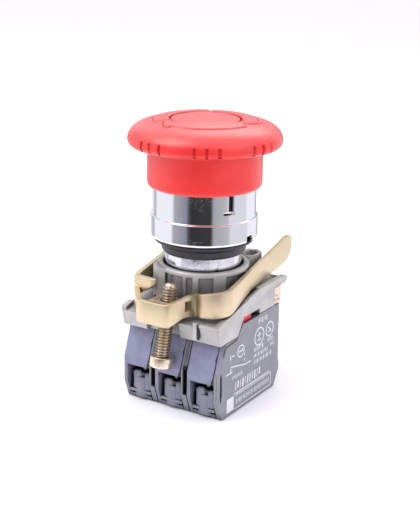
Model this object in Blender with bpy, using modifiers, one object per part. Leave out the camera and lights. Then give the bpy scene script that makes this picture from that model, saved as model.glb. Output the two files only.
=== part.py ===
"""Emergency stop button: a 40 mm turn-to-release mushroom head for a 22.5 mm panel hole, its fixing collar
with a locking lever and clamp screw, and three snap-on contact blocks.

Every size is in millimetres. The mesh helpers write metres. +Z runs up the button's axis, the three blocks
stand in a row along X, and the origin is on the axis at the middle of the middle block's bottom face.
"""
from math import cos, pi, radians, sin

import bmesh
import bpy
from mathutils import Matrix, Vector

MM = 0.001
GAP = 0.3                      # clearance between two pieces that touch
ROUND_STEPS = 40               # facets around a large turned piece
SMALL_STEPS = 16               # facets around a small turned piece

# Head
CAP_RADIUS = 20.0
CAP_EDGE_Z = 70.3              # height of the widest part of the mushroom
CAP_TOP_Z = 75.6
SKIRT_RADIUS = 15.0
SKIRT_BOTTOM_Z = 58.1
SKIRT_WALL = 1.0
DISC_RADIUS = 9.0
PRESS_TRAVEL = 4.3
BARREL_RADIUS = 13.55          # chrome barrel under the skirt
RING_RADIUS = 14.05            # thicker ring at the barrel's foot
RING_TOP_Z = 50.4
RING_BOTTOM_Z = 44.7
BARREL_TOP_Z = 63.0
NECK_RADIUS = 10.2
NECK_BOTTOM_Z = 29.3
NECK_BORE = 8.7
CUP_RADIUS = 12.2              # hollow inside the barrel
CUP_FLOOR_Z = 47.0
SEAT_Z = 43.6                  # face of the gasket that meets the panel
HOLE_RADIUS = 11.1             # gasket spigot, a loose fit in a 22.5 mm hole
STEM_RADIUS = 4.0
PUSHER_RADIUS = 8.3
PUSHER_BOTTOM_Z = 29.2

# Fixing collar
PLATE_HALF_WIDTH = 15.0
RIM_WALL = 1.5
RIM_HEIGHT = 1.0               # how far the side rims stand above the deck
TURRET_RADIUS = 12.1
TURRET_TOP_Z = 37.4
COLLAR_BORE = 10.6
LOCK_RING_OUTER = 11.3
LOCK_RING_Z = (27.7, 28.9)
SHEET = 1.4                    # thickness of the lever's steel sheet

# Clamp screw
SCREW_TIP = Vector((0.2, -15.5, 35.2))
SCREW_FOOT = Vector((-0.6, -18.9, 13.4))
SCREW_RADIUS = 2.0
SCREW_HEAD_RADIUS = 3.0
SCREW_HEAD_HEIGHT = 2.8

# Contact blocks, with x counted from each block's own middle
BLOCK_PITCH = 10.0
BLOCKS = {"left": -BLOCK_PITCH, "middle": 0.0, "right": BLOCK_PITCH}
OPEN_AT_REST = "middle"        # this block closes when the button is pressed, the others open
BLOCK_LEFT = -4.85
BLOCK_RIGHT = 4.85
SEAM_X = 3.0                   # the cover starts GAP to the right of this
INNER_LEFT = -3.85             # inside of the housing's left wall
SCREW_X = -0.4
TERMINALS = {"front": -11.0, "rear": 11.0}
BLOCK_OUTLINE = [(-13.4, 0), (-15.3, 5), (-15.3, 12), (-12.2, 20.7), (-6.3, 20.7), (-3.9, 24.3), (-3.6, 24.3),
                 (-3.4, 23.5), (4.5, 23.5), (4.7, 23.7), (15.6, 23.7), (15.8, 8), (16.5, 5.2), (16.3, 4.2),
                 (13.8, 0)]
HOOD_STEP = 0.5                # how far the hood lies behind the block's front edges
BRIDGE_Z = (13.6, 14.2)
PLUNGER_TOP_Z = 28.9
PLUNGER_FOOT_Z = 11.0
FLAG_X = (3.3, 4.1)            # coloured flag of the plunger, seen through a gap over the cover
STRIP_Z = (9.7, 10.7)
CHAMBER_FLOOR_Z = 3.0


# ---------------------------------------------------------------- scene and materials

for old in list(bpy.data.objects):
    bpy.data.objects.remove(old, do_unlink=True)

PARTS = bpy.data.collections.new("emergency_stop_button")
CUTTERS = bpy.data.collections.new("cutters")
bpy.context.scene.collection.children.link(PARTS)
bpy.context.scene.collection.children.link(CUTTERS)


def finish(name, colour, roughness, metallic=0.0):
    """A Principled material for one part."""
    material = bpy.data.materials.new(name)
    material.use_nodes = True
    shader = material.node_tree.nodes["Principled BSDF"]
    shader.inputs["Base Color"].default_value = (*colour, 1.0)
    shader.inputs["Roughness"].default_value = roughness
    shader.inputs["Metallic"].default_value = metallic
    return material


RED = (0.75, 0.03, 0.03)
CHROME = (0.82, 0.82, 0.84)
BLACK = (0.02, 0.02, 0.022)
ZAMAK = (0.42, 0.41, 0.39)
CHROMATE = (0.66, 0.52, 0.30)
STEEL = (0.55, 0.54, 0.52)
BRASS = (0.70, 0.48, 0.22)
COPPER = (0.72, 0.42, 0.30)
BLUE_GREY = (0.24, 0.25, 0.36)
GREY = (0.28, 0.29, 0.33)
GREEN = (0.03, 0.35, 0.10)
WHITE_NYLON = (0.75, 0.73, 0.68)


# ---------------------------------------------------------------- modelling tools

def add(name, mesh, material=None, cutter=False, location=(0, 0, 0), rotation=(0, 0, 0)):
    """Put a mesh in the scene, as a part or as a hidden cutter."""
    thing = bpy.data.objects.new(name, mesh)
    thing.location = Vector(location) * MM
    thing.rotation_euler = rotation
    if cutter:
        CUTTERS.objects.link(thing)
        thing.hide_render = True
        thing.display_type = "WIRE"
    else:
        PARTS.objects.link(thing)
        mesh.materials.append(material)
    return thing


def mesh_from(shape, name):
    """Close a bmesh, in millimetres, into a mesh in metres with its faces pointing out."""
    bmesh.ops.recalc_face_normals(shape, faces=shape.faces)
    bmesh.ops.scale(shape, vec=(MM, MM, MM), verts=shape.verts)
    mesh = bpy.data.meshes.new(name)
    shape.to_mesh(mesh)
    shape.free()
    return mesh


def prism(name, outline, low, high, axis="Z"):
    """Extrude a flat outline from low to high. Axis X takes (y, z) points, axis Z takes (x, y) points."""
    shape = bmesh.new()
    if axis == "X":
        corners = [shape.verts.new((low, y, z)) for y, z in outline]
        push = Vector((high - low, 0, 0))
    else:
        corners = [shape.verts.new((x, y, low)) for x, y in outline]
        push = Vector((0, 0, high - low))
    face = shape.faces.new(corners)
    result = bmesh.ops.extrude_face_region(shape, geom=[face])
    moved = [item for item in result["geom"] if isinstance(item, bmesh.types.BMVert)]
    bmesh.ops.translate(shape, vec=push, verts=moved)
    return mesh_from(shape, name)


def block(name, low, high):
    """A box between two corners."""
    shape = bmesh.new()
    size = Vector(high) - Vector(low)
    middle = (Vector(high) + Vector(low)) / 2
    place = Matrix.Translation(middle) @ Matrix.Diagonal((*size, 1.0))
    bmesh.ops.create_cube(shape, size=1.0, matrix=place)
    return mesh_from(shape, name)


def rod(name, radius, low, high, centre=(0, 0), steps=SMALL_STEPS, top_radius=None):
    """A cylinder or cone frustum along Z."""
    shape = bmesh.new()
    place = Matrix.Translation((centre[0], centre[1], (low + high) / 2))
    far = radius if top_radius is None else top_radius
    bmesh.ops.create_cone(shape, cap_ends=True, segments=steps, radius1=radius, radius2=far,
                          depth=high - low, matrix=place)
    return mesh_from(shape, name)


def turned(name, profile, material=None, closed=True, steps=ROUND_STEPS, location=(0, 0, 0), cutter=False,
           rotation=(0, 0, 0)):
    """Turn an (r, z) profile about Z. It runs top to bottom on its outer side; closed joins its ends."""
    shape = bmesh.new()
    points = [shape.verts.new((r * MM, 0, z * MM)) for r, z in profile]
    for start, end in zip(points, points[1:]):
        shape.edges.new((start, end))
    if closed:
        shape.edges.new((points[-1], points[0]))
    mesh = bpy.data.meshes.new(name)
    shape.to_mesh(mesh)
    shape.free()
    thing = add(name, mesh, material, cutter, location, rotation)
    screw = thing.modifiers.new("turn", "SCREW")
    screw.axis = "Z"
    screw.angle = 2 * pi
    screw.steps = steps
    screw.render_steps = steps
    screw.use_merge_vertices = True
    screw.merge_threshold = 0.00001
    screw.use_smooth_shade = True
    return thing


def boolean(target, tool, operation):
    """Add one exact Boolean to a part."""
    change = target.modifiers.new(operation.lower(), "BOOLEAN")
    change.operation = operation
    change.object = tool
    change.solver = "EXACT"


def cut(target, *meshes):
    """Cut meshes, given in the target's own space, out of a part."""
    for mesh in meshes:
        tool = add(target.name + "_cutter", mesh, cutter=True)
        tool.matrix_world = Matrix.LocRotScale(target.location, target.rotation_euler, None)
        boolean(target, tool, "DIFFERENCE")


def join(target, *meshes):
    """Join meshes, given in the target's own space, to a part."""
    for mesh in meshes:
        tool = add(target.name + "_addition", mesh, cutter=True)
        tool.matrix_world = Matrix.LocRotScale(target.location, target.rotation_euler, None)
        boolean(target, tool, "UNION")


def coil(name, radius, wire, low, high, turns, centre, material):
    """A compression spring: a helix whose first and last half turns lie flat."""
    per_turn = 10
    count = int(turns * per_turn)
    curve = bpy.data.curves.new(name, "CURVE")
    curve.dimensions = "3D"
    curve.bevel_depth = wire * MM
    curve.bevel_resolution = 2
    curve.use_fill_caps = True
    line = curve.splines.new("POLY")
    line.points.add(count)
    flat = 0.5 / turns
    for index, point in enumerate(line.points):
        part = index / count
        rise = min(max((part - flat) / (1 - 2 * flat), 0.0), 1.0)
        angle = 2 * pi * turns * part
        height = low + wire + (high - low - 2 * wire) * rise
        # A dead end turn drops by just over half a wire, so that it doesn't run into itself.
        height += (part - 0.5) * wire
        height = min(max(height, low + wire), high - wire)
        point.co = (radius * cos(angle) * MM, radius * sin(angle) * MM, height * MM, 1.0)
    spring = bpy.data.objects.new(name, curve)
    spring.location = (centre[0] * MM, centre[1] * MM, 0)
    PARTS.objects.link(spring)
    curve.materials.append(material)
    return spring


def wall(name, path):
    """An open strip through (x, y, low z, high z) stations."""
    shape = bmesh.new()
    feet = [shape.verts.new((x * MM, y * MM, low * MM)) for x, y, low, high in path]
    heads = [shape.verts.new((x * MM, y * MM, high * MM)) for x, y, low, high in path]
    for first in range(len(path) - 1):
        second = first + 1
        shape.faces.new((feet[first], feet[second], heads[second], heads[first]))
    mesh = bpy.data.meshes.new(name)
    shape.to_mesh(mesh)
    shape.free()
    return mesh


def thicken(thing, depth=SHEET):
    """Give an open strip its thickness on the side away from its faces' normals."""
    solid = thing.modifiers.new("sheet", "SOLIDIFY")
    solid.thickness = depth * MM
    solid.offset = -1.0
    solid.use_even_offset = True


def on_axis(name, where=(0, 0, 0)):
    """An empty that marks a joint's axis; the pieces that move about it hang on it."""
    empty = bpy.data.objects.new(name, None)
    empty.location = Vector(where) * MM
    PARTS.objects.link(empty)
    return empty


# ---------------------------------------------------------------- head

def make_cap(parent):
    """Red mushroom: a moulded dome with a skirt, a hub for the stem and a seat for the cover disc."""
    inner = SKIRT_RADIUS - SKIRT_WALL
    profile = [(1.9, 71.6), (3.2, 71.6), (3.2, 73.4), (DISC_RADIUS + GAP, 73.4), (DISC_RADIUS + GAP, 75.2),
               (10.2, 75.35), (13.0, 75.0), (15.4, 74.5), (17.2, 73.9), (18.5, 73.1), (19.4, 72.1),
               (19.85, 71.2), (CAP_RADIUS, CAP_EDGE_Z), (19.85, 69.4), (19.5, 68.8), (18.9, 68.45),
               (15.7, 68.4), (SKIRT_RADIUS, 67.8),
               (SKIRT_RADIUS, SKIRT_BOTTOM_Z + 0.6), (SKIRT_RADIUS - 0.3, SKIRT_BOTTOM_Z),
               (inner, SKIRT_BOTTOM_Z), (inner, 70.2), (12.6, 71.7), (7.2, 71.9), (6.4, 71.2), (6.4, 66.0),
               (STEM_RADIUS + GAP, 66.0), (STEM_RADIUS + GAP, 70.5), (1.9, 70.5)]
    cap = turned("mushroom_cap", profile, finish("cap_red", RED, 0.3))
    disc = turned("cap_disc", [(0, CAP_TOP_Z), (8.1, 75.5), (8.8, 75.3), (DISC_RADIUS, 74.9),
                               (DISC_RADIUS, 73.7), (0, 73.7)], finish("disc_red", RED, 0.3), closed=False)
    screw = turned("cap_screw", [(0, 72.7), (0.9, 72.7), (0.9, 73.3), (2.4, 73.3), (2.8, 72.9), (2.8, 71.9),
                                 (1.3, 71.9), (1.3, 62.8), (1.0, 62.5), (0, 62.5)],
                   finish("cap_screw_steel", STEEL, 0.35, 1.0), closed=False, steps=SMALL_STEPS)
    for piece in (cap, disc, screw):
        piece.parent = parent


def make_stem(parent):
    """Steel stem: it carries the cap, the spring flange, the latch groove and the retaining ring's groove."""
    profile = [(0, 62.0), (1.6, 62.0), (1.6, 70.2), (STEM_RADIUS, 70.2), (STEM_RADIUS, 63.8), (8.6, 63.8),
               (8.6, 62.3), (4.7, 62.3), (4.7, 56.0), (4.2, 55.7), (4.2, 54.9), (4.7, 54.6), (4.7, 49.0),
               (STEM_RADIUS, 48.4), (STEM_RADIUS, 47.1), (3.4, 47.1), (3.4, 45.7), (STEM_RADIUS, 45.7),
               (STEM_RADIUS, 32.2), (3.7, 31.9), (0, 31.9)]
    stem = turned("actuator_stem", profile, finish("stem_steel", STEEL, 0.3, 1.0), closed=False, steps=24)
    ring = turned("retaining_ring", [(3.7, 46.8), (6.2, 46.8), (6.2, 46.0), (3.7, 46.0)],
                  finish("ring_spring_steel", STEEL, 0.35, 1.0), steps=24)
    cut(ring, block("ring_gap", (3.0, -1.4, 45.5), (7.0, 1.4, 47.3)))
    stem.parent = parent
    ring.parent = parent


def make_pusher(parent):
    """Nylon pusher on the stem's foot, wide enough to reach the plungers of all three blocks."""
    socket = STEM_RADIUS + GAP
    pusher = turned("pusher", [(0, 31.6), (socket, 31.6), (socket, 35.5), (5.6, 35.5), (5.6, 31.5),
                               (8.0, 31.5),
                               (PUSHER_RADIUS, 31.2), (PUSHER_RADIUS, 29.5), (8.0, PUSHER_BOTTOM_Z),
                               (0, PUSHER_BOTTOM_Z)], finish("pusher_nylon", WHITE_NYLON, 0.45), closed=False,
                    steps=32)
    pusher.parent = parent


def make_bezel():
    """Chromed die-cast body: barrel, ring and the neck that passes through the panel into the collar."""
    profile = [(CUP_RADIUS, BARREL_TOP_Z), (13.1, BARREL_TOP_Z), (BARREL_RADIUS, 62.5),
               (BARREL_RADIUS, RING_TOP_Z + 0.3), (RING_RADIUS, RING_TOP_Z - 0.2),
               (RING_RADIUS, RING_BOTTOM_Z + 0.3), (RING_RADIUS - 0.3, RING_BOTTOM_Z),
               (NECK_RADIUS, RING_BOTTOM_Z), (NECK_RADIUS, NECK_BOTTOM_Z + 0.4), (9.8, NECK_BOTTOM_Z),
               (NECK_BORE, NECK_BOTTOM_Z), (NECK_BORE, CUP_FLOOR_Z), (CUP_RADIUS, CUP_FLOOR_Z)]
    bezel = turned("head_bezel", profile, finish("bezel_chrome", CHROME, 0.08, 1.0))
    slot = block("slot", (-1.5, -15.0, 53.0), (1.5, -12.75, 64.0))
    slot.transform(Matrix.Rotation(radians(60), 4, "Z"))
    notch = block("notch", (13.0, -1.4, 44.0), (15.0, 1.4, 46.1))
    cut(bezel, slot, notch)


def make_head_inserts():
    """Gasket, stem seal, latch sleeve with its wire clip, and the return spring."""
    turned("panel_gasket", [(10.5, 44.4), (13.2, 44.4), (13.2, SEAT_Z), (11.2, SEAT_Z), (HOLE_RADIUS, 41.1),
                            (10.8, 40.6), (10.5, 40.6)], finish("gasket_rubber", BLACK, 0.6))
    turned("stem_seal", [(4.3, 38.0), (8.4, 38.0), (8.4, 36.0), (7.4, 36.0), (7.0, 37.0), (4.9, 36.8),
                         (4.3, 36.2)], finish("seal_rubber", BLACK, 0.6), steps=32)
    sleeve = turned("latch_sleeve", [(5.0, 54.0), (11.9, 54.0), (11.9, 47.3), (5.0, 47.3), (5.0, 49.9),
                                     (6.7, 49.9), (6.7, 52.1), (5.0, 52.1)],
                    finish("sleeve_nylon", WHITE_NYLON, 0.45), steps=32)
    for angle in (90, 210, 330):
        key = block("key", (-1.2, 10.6, 47.0), (1.2, 13.0, 54.5))
        key.transform(Matrix.Rotation(radians(angle), 4, "Z"))
        cut(sleeve, key)
    clip = turned("latch_clip", [(5.1, 51.0), (5.4, 51.4), (6.0, 51.4), (6.3, 51.0), (6.0, 50.6),
                                 (5.4, 50.6)],
                  finish("clip_spring_steel", STEEL, 0.35, 1.0), steps=32)
    cut(clip, block("clip_gap", (-1.6, 3.0, 50.0), (1.6, 8.0, 52.0)))
    coil("return_spring", 7.4, 0.4, 54.3, 62.0, 4.5, (0, 0), finish("spring_steel", STEEL, 0.3, 1.0))


# ---------------------------------------------------------------- fixing collar

def deck_outline(drop):
    """Side view of the plate, as (y, z), with its upper edge lowered by drop."""
    top = [(-16.3, 26.3), (-10.2, 27.7), (-3.1, 29.3), (4.5, 31.0), (18.3, 31.0)]
    outline = [(-15.2, 21.0)] + [(y, z - drop) for y, z in top]
    outline += [(19.3, 30.6 - drop / 2), (19.3, 29.2), (16.8, 28.6), (16.8, 24.0), (4.7, 24.0), (4.5, 25.5),
                (-3.8, 25.5), (-3.8, 24.9), (-4.1, 24.9), (-6.6, 21.0)]
    return outline


def make_collar():
    """Die-cast collar: a plate that hooks over the blocks, and a turret with two bayonet lugs."""
    half = PLATE_HALF_WIDTH
    inside = half - RIM_WALL
    collar = add("collar_body", prism("deck", deck_outline(RIM_HEIGHT), -half + 0.5, half - 0.5, "X"),
                 finish("collar_zamak", ZAMAK, 0.5, 0.6))
    join(collar, prism("rim", deck_outline(0), -half, -inside, "X"),
         prism("rim", deck_outline(0), inside, half, "X"),
         rod("turret", TURRET_RADIUS, 27.0, TURRET_TOP_Z, steps=ROUND_STEPS))
    back_lug = [(2.5, 12.0), (4.2, 15.6), (6.8, 16.9), (9.1, 15.2), (9.6, 11.5), (9.2, 7.6), (6.0, 8.0)]
    front_lug = [(-4.2, -11.2), (-6.5, -12.0), (-9.2, -10.0), (-10.0, -7.0), (-8.0, -6.0), (-5.0, -8.0)]
    join(collar, prism("lug", back_lug, 27.5, TURRET_TOP_Z), prism("lug", front_lug, 26.0, TURRET_TOP_Z))
    cut(collar, rod("bore", COLLAR_BORE, 15.0, 40.0, steps=ROUND_STEPS),
        rod("groove", LOCK_RING_OUTER + GAP, LOCK_RING_Z[0] - GAP, LOCK_RING_Z[1] + GAP, steps=ROUND_STEPS),
        prism("recess", [(5.0, 12.4), (5.6, 14.9), (7.4, 15.5), (8.7, 14.0), (8.6, 11.2), (7.2, 10.2)],
              33.0, 38.0))
    cut(collar, ear_slot(), block("catch_pocket", (13.6, 12.7, 20.0), (16.0, 18.0, 29.0)))
    # The outer plungers reach up beside the turret, through the deck.
    cut(collar, block("plunger_window", (-13.9, -4.1, 20.0), (14.4, 1.8, PLUNGER_TOP_Z + GAP)))
    # The left rim is lowered where the lever's wall swings over it.
    sweep = [(-12.8, 26.1), (-10.2, 26.7), (-3.1, 28.3), (4.5, 30.0), (5.5, 30.0), (5.5, 32.0), (-12.8, 32.0)]
    cut(collar, prism("lever_sweep", sweep, -half - 0.5, -inside, "X"))
    cut(collar, rod("plate_hole", 1.25, 24.0, 32.0, (11.6, 18.0)))
    # The clamp screw stands in a notch of the front edge, long enough for the lever's swing.
    cut(collar, block("chin", (-inside, -13.2, 20.0), (inside, -7.6, 23.6)),
        block("screw_notch", (-7.4, -18.0, 20.0), (3.0, -13.9, 30.0)))


def ear_slot():
    """Window in the turret's front that the lever's ear swings through, about Z."""
    reach = 14.5
    angles = [radians(-90 + turn) for turn in (-40, -20, 0, 18)]
    outline = [(reach * cos(angle), reach * sin(angle)) for angle in angles]
    outline += [(9.0 * cos(angle), 9.0 * sin(angle)) for angle in reversed(angles)]
    return prism("ear_slot", outline, LOCK_RING_Z[0] - GAP, LOCK_RING_Z[1] + GAP)


def make_lever(pivot):
    """Locking lever: one folded steel strap around the turret, with an ear and a ring inside the collar."""
    strap_path = [(-14.0, 6.0, 31.4, 38.0), (-14.0, -10.8, 28.5, 34.5), (-13.6, -12.4, 28.2, 34.2),
                  (-12.9, -13.4, 27.4, 31.6), (-8.6, -18.7, 27.0, 31.0), (-8.0, -19.4, 25.2, 31.0),
                  (-7.2, -20.4, 25.0, 31.0), (-6.0, -21.0, 25.0, 31.0), (2.4, -21.0, 25.0, 31.1),
                  (3.4, -20.6, 25.1, 31.2), (3.9, -19.8, 25.4, 31.4), (4.7, -16.8, 27.0, 32.2),
                  (5.6, -13.7, 27.0, 33.0), (6.6, -14.2, 27.0, 33.2), (9.4, -14.6, 27.1, 33.7),
                  (12.0, -13.9, 27.3, 34.1), (14.2, -12.4, 27.6, 34.4), (15.2, -10.3, 28.0, 34.7),
                  (13.5, 3.2, 31.2, 36.2), (11.25, 21.0, 31.5, 38.1), (10.45, 27.3, 31.8, 39.0),
                  (10.2, 29.4, 33.0, 38.9), (10.1, 30.2, 34.2, 38.3), (10.05, 30.5, 35.5, 37.3)]
    lever = add("locking_lever", wall("strap", strap_path), finish("lever_chromate", CHROMATE, 0.35, 0.8))
    thicken(lever)
    tongue_path = [(-13.2, -12.9, 29.8, 34.3), (-10.0, -13.9, 30.3, 34.6), (-6.6, -14.9, 32.6, 34.9),
                   (-5.4, -14.6, 33.6, 34.8)]
    tongue = add("lever_tongue", wall("tongue", tongue_path), cutter=True)
    thicken(tongue)
    boolean(lever, tongue, "UNION")
    ear_outline = [(-5.0, -20.2), (2.4, -20.2), (3.2, -17.0), (3.4, -13.0), (2.8, -11.1), (-3.0, -11.1),
                   (-4.6, -13.0), (-6.4, -17.0), (-6.0, -19.6)]
    join(lever, prism("ear", ear_outline, LOCK_RING_Z[0], LOCK_RING_Z[1]),
         rod("ring", LOCK_RING_OUTER, LOCK_RING_Z[0], LOCK_RING_Z[1], steps=ROUND_STEPS))
    # The ring is only an arc round the front, clear of the outer plungers through the whole swing.
    cut(lever, rod("ring_bore", COLLAR_BORE + 0.1, 27.0, 29.6, steps=ROUND_STEPS),
        block("ring_gap", (-12.2, -6.7, 27.2), (12.2, 13.0, 29.6)))
    cut(lever, tilted_rod(SCREW_RADIUS + GAP, 22.0, 34.0), window())
    lever.parent = pivot


def window():
    """Small rectangular window in the lever's slanting front wall."""
    shape = block("window", (-2.5, -0.9, -1.4), (2.5, 0.9, 1.4))
    shape.transform(Matrix.Translation(Vector((5.0, -15.6, 30.0)) * MM))
    return shape


def screw_turn():
    """Rotation that lays +Z along the clamp screw, from its foot to its tip."""
    return (SCREW_TIP - SCREW_FOOT).to_track_quat("Z", "Y").to_euler()


def tilted_rod(radius, low, high):
    """A cylinder round the clamp screw's axis, between two heights."""
    mesh = rod("tilted", radius, low - SCREW_FOOT.z, high - SCREW_FOOT.z, steps=SMALL_STEPS)
    mesh.transform(screw_turn().to_matrix().to_4x4())
    mesh.transform(Matrix.Translation(SCREW_FOOT * MM))
    return mesh


def make_clamp(pivot):
    """Clamp screw that presses on the back of the panel, and the square nut that it runs in."""
    length = (SCREW_TIP - SCREW_FOOT).length
    profile = [(0, length), (1.3, length), (SCREW_RADIUS, length - 0.7), (SCREW_RADIUS, SCREW_HEAD_HEIGHT),
               (SCREW_HEAD_RADIUS - 0.3, SCREW_HEAD_HEIGHT), (SCREW_HEAD_RADIUS, SCREW_HEAD_HEIGHT - 0.3),
               (SCREW_HEAD_RADIUS, 0.3), (SCREW_HEAD_RADIUS - 0.3, 0), (0, 0)]
    screw = turned("clamp_screw", profile, finish("clamp_screw_zinc", CHROMATE, 0.35, 1.0), closed=False,
                   steps=20, location=SCREW_FOOT, rotation=screw_turn())
    cut(screw, block("slot", (-4, -0.5, -1.0), (4, 0.5, 1.2)))
    nut_outline = [(-4.2, -19.2), (1.6, -19.2), (2.4, -18.2), (2.6, -13.9), (-4.2, -13.9)]
    nut = add("clamp_nut", prism("nut", nut_outline, LOCK_RING_Z[1] + GAP, 31.0),
              finish("nut_copper", COPPER, 0.35, 1.0))
    cut(nut, tilted_rod(SCREW_RADIUS + GAP, 26.0, 34.0))
    nut.parent = pivot


def make_catch():
    """Brass spring strip that holds the right block's rear corner."""
    catch = add("block_catch", block("catch", (14.2, 13.0, 24.1), (14.8, 16.4, 28.7)),
                finish("catch_brass", BRASS, 0.3, 1.0))
    for y, z in ((13.9, 25.0), (15.2, 25.0), (14.5, 26.2)):
        pip = rod("pip", 0.35, 0.0, 0.35, steps=8)
        pip.transform(Matrix.Rotation(pi / 2, 4, "Y"))
        pip.transform(Matrix.Translation(Vector((14.7, y, z)) * MM))
        join(catch, pip)


# ---------------------------------------------------------------- contact blocks

def make_housing(side, x):
    """Moulded case: an open tray with a terminal chamber at each end and a contact chamber between."""
    case = add("block_housing_" + side, prism("case", BLOCK_OUTLINE, x + BLOCK_LEFT, x + SEAM_X, "X"),
               finish("case_" + side, BLUE_GREY, 0.5))
    left = x + INNER_LEFT
    right = x + SEAM_X + 0.5
    cut(case, block("contact_chamber", (left, -6.6, CHAMBER_FLOOR_Z), (right, 6.6, 19.6)),
        block("plunger_well", (left, -4.1, 20.3), (right, 0.3, 26.0)),
        block("stem_slot", (x - 2.5, -3.3, 19.0), (x + 2.5, 1.8, 26.0)))
    # The hood at the front lies a step behind the two side walls.
    step = [(-17.0, 9.9), (-15.3 + HOOD_STEP, 9.9), (-15.3 + HOOD_STEP, 12.1), (-12.2 + HOOD_STEP, 20.8),
            (-12.2 + HOOD_STEP, 22.0), (-17.0, 22.0)]
    cut(case, prism("hood_step", step, left, right, "X"))
    for end, y in TERMINALS.items():
        sign = -1 if y < 0 else 1
        inner, outer = sorted((sign * 7.6, sign * 14.2))
        cut(case, block("terminal_chamber", (left, inner, 1.2), (right, outer, 13.6)))
        inner, outer = sorted((sign * 13.9, sign * 18.0))
        cut(case, block("wire_entry", (left, inner, 2.0), (right, outer, 10.0)))
        inner, outer = sorted((sign * 6.3, sign * 7.9))
        cut(case, block("strip_slot", (x - 2.3, inner, STRIP_Z[0] - GAP), (right, outer, STRIP_Z[1] + GAP)))
        # A round guide keeps the screwdriver on the screw.
        join(case, rod("guide", 3.3, 0.6, 6.2, (x + SCREW_X, y), steps=20))
        cut(case, rod("driver_hole", 2.7, -1.0, 7.0, (x + SCREW_X, y)))


def make_cover(side, x):
    """Side cover: the flat right wall of the block, with a finger recess at its front edge."""
    cover = add("block_cover_" + side, prism("cover", BLOCK_OUTLINE, x + SEAM_X + GAP, x + BLOCK_RIGHT, "X"),
                finish("cover_" + side, GREY, 0.5))
    recess = [(-16.0, 5.8), (-14.3, 5.2), (-13.7, 7.0), (-13.9, 12.0), (-14.4, 13.5), (-16.0, 13.5)]
    cut(cover, prism("recess", recess, x + BLOCK_RIGHT - 0.8, x + BLOCK_RIGHT + 1.0, "X"),
        block("flag_pocket", (x + SEAM_X - 0.5, -3.7, 18.0), (x + FLAG_X[1] + GAP, 1.8, 26.0)))


def make_plunger(side, x):
    """Plunger that the pusher presses, with the contact bridge through its stem and a spring under it."""
    colour = GREEN if side == OPEN_AT_REST else RED
    plunger = add("contact_plunger_" + side,
                  block("stem", (x - 2.2, -3.0, PLUNGER_FOOT_Z), (x + 2.2, 1.5, 24.9)),
                  finish("plunger_" + side, colour, 0.4))
    join(plunger, block("paddle", (x - 3.6, -3.8, 24.7), (x + 2.9, 0.0, PLUNGER_TOP_Z)),
         block("neck", (x + 2.7, -3.3, 24.9), (x + FLAG_X[1] - 0.2, -0.2, 26.8)),
         block("flag", (x + FLAG_X[0], -3.4, 22.6), (x + FLAG_X[1], 1.5, 27.0)))
    cut(plunger, block("bridge_slot", (x - 1.8, -5.0, BRIDGE_Z[0] - GAP), (x + 1.8, 5.0, BRIDGE_Z[1] + GAP)))
    bridge = add("contact_bridge_" + side,
                 block("bridge", (x - 1.5, -5.2, BRIDGE_Z[0]), (x + 1.5, 5.2, BRIDGE_Z[1])),
                 finish("bridge_" + side, COPPER, 0.3, 1.0))
    coil("contact_spring_" + side, 1.5, 0.25, CHAMBER_FLOOR_Z + GAP, PLUNGER_FOOT_Z - GAP, 5, (x, -0.7),
         finish("contact_spring_" + side, STEEL, 0.3, 1.0))
    return plunger, bridge


def make_terminal(side, x, end, y):
    """Fixed contact strip with its clamp screw and saddle. The saddle lifts with the screw."""
    sign = -1 if y < 0 else 1
    if side == OPEN_AT_REST:
        arm_high = BRIDGE_Z[0] - PRESS_TRAVEL - GAP
        arm = (arm_high - 0.8, arm_high)
    else:
        arm = (BRIDGE_Z[1] + GAP, BRIDGE_Z[1] + GAP + 0.8)
    outline = [(sign * 13.4, STRIP_Z[0]), (sign * 13.4, STRIP_Z[1])]
    if arm[0] > STRIP_Z[1]:
        outline += [(sign * 6.3, STRIP_Z[1]), (sign * 6.3, arm[1]), (sign * 3.6, arm[1]),
                    (sign * 3.6, arm[0]), (sign * 5.5, arm[0]), (sign * 5.5, STRIP_Z[0])]
    else:
        outline += [(sign * 5.5, STRIP_Z[1]), (sign * 5.5, arm[1]), (sign * 3.6, arm[1]),
                    (sign * 3.6, arm[0]), (sign * 6.3, arm[0]), (sign * 6.3, STRIP_Z[0])]
    strip = add("_".join(("fixed_contact", side, end)), prism("strip", outline, x - 2.0, x + 2.0, "X"),
                finish("_".join(("strip", side, end)), BRASS, 0.3, 1.0))
    cut(strip, rod("hole", 1.9, 9.0, 11.5, (x + SCREW_X, y), steps=12))
    screw = turned("_".join(("terminal_screw", side, end)),
                   [(0, 11.2), (1.6, 11.2), (1.6, 5.6), (2.4, 5.6), (2.4, 3.2), (0, 3.2)],
                   finish("_".join(("screw", side, end)), STEEL, 0.35, 1.0), closed=False, steps=12,
                   location=(x + SCREW_X, y, 0))
    cut(screw, block("slot", (-3, -0.4, 2.5), (3, 0.4, 4.1)))
    saddle = add("_".join(("clamp_saddle", side, end)),
                 block("saddle", (-2.8, -2.7, 6.5), (2.8, 2.7, 7.5)),
                 finish("_".join(("saddle", side, end)), STEEL, 0.4, 1.0), location=(x + SCREW_X, y, 0))
    cut(saddle, rod("hole", 1.9, 6.0, 8.0, steps=12))


# ---------------------------------------------------------------- assembly

def main():
    """Build every sub-part in place."""
    press_axis = on_axis("press_axis")
    lever_axis = on_axis("lever_axis")
    make_cap(press_axis)
    make_stem(press_axis)
    make_pusher(press_axis)
    make_bezel()
    make_head_inserts()
    make_collar()
    make_lever(lever_axis)
    make_clamp(lever_axis)
    make_catch()
    for side, x in BLOCKS.items():
        make_housing(side, x)
        make_cover(side, x)
        make_plunger(side, x)
        for end, y in TERMINALS.items():
            make_terminal(side, x, end, y)


main()
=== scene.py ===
from math import pi, radians, sin

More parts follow.
